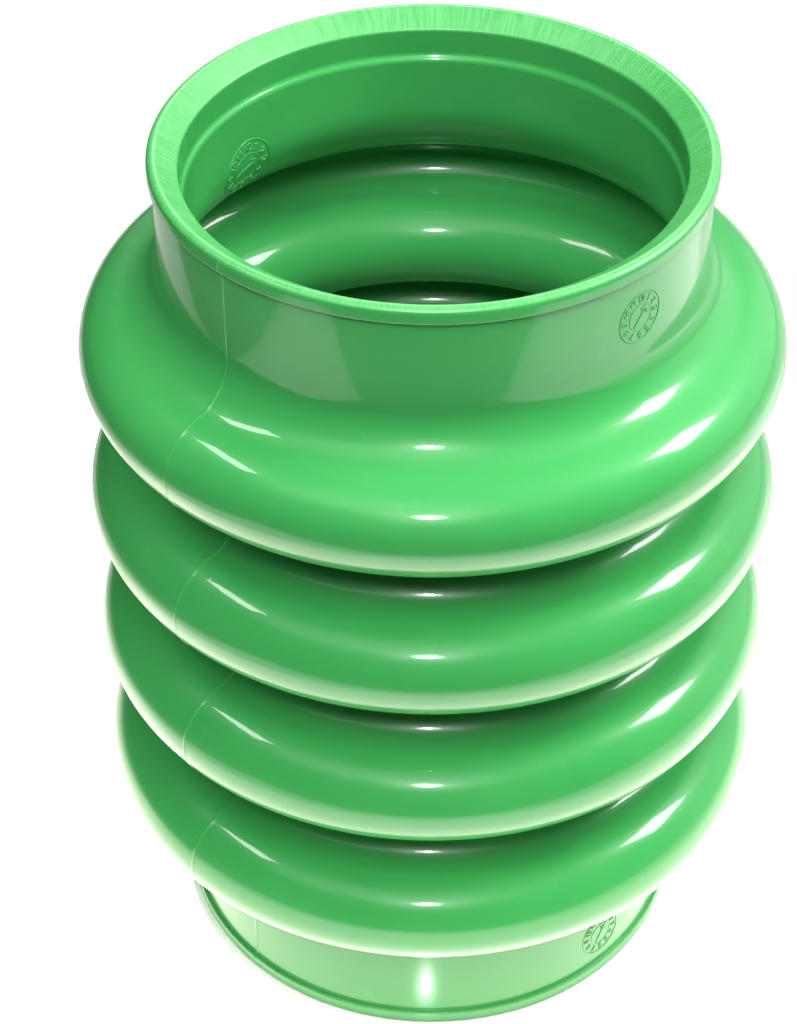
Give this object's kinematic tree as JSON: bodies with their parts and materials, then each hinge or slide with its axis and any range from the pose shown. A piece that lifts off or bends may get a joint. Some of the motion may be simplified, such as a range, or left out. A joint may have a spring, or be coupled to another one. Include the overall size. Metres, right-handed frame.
{
  "type": "rubber bellows boot",
  "caption": "Round rubber bellows boot: soft rounded convolutions between two plain beaded collars, sealing a leg that slides or swivels.",
  "frame": {"origin": "centre of the lower end, on the plane that the boot stands on", "axes": "+Z along the boot's axis, from the lower collar to the upper; +X to the right and -Y towards the viewer, with the mould marks at 45 degrees between them"},
  "size_m": [0.206, 0.2058, 0.278],
  "materials": {
    "green_rubber": "gloss"
  },
  "bodies": {
    "root": {"bellows_boot": "green_rubber"}
  },
  "joints": []
}
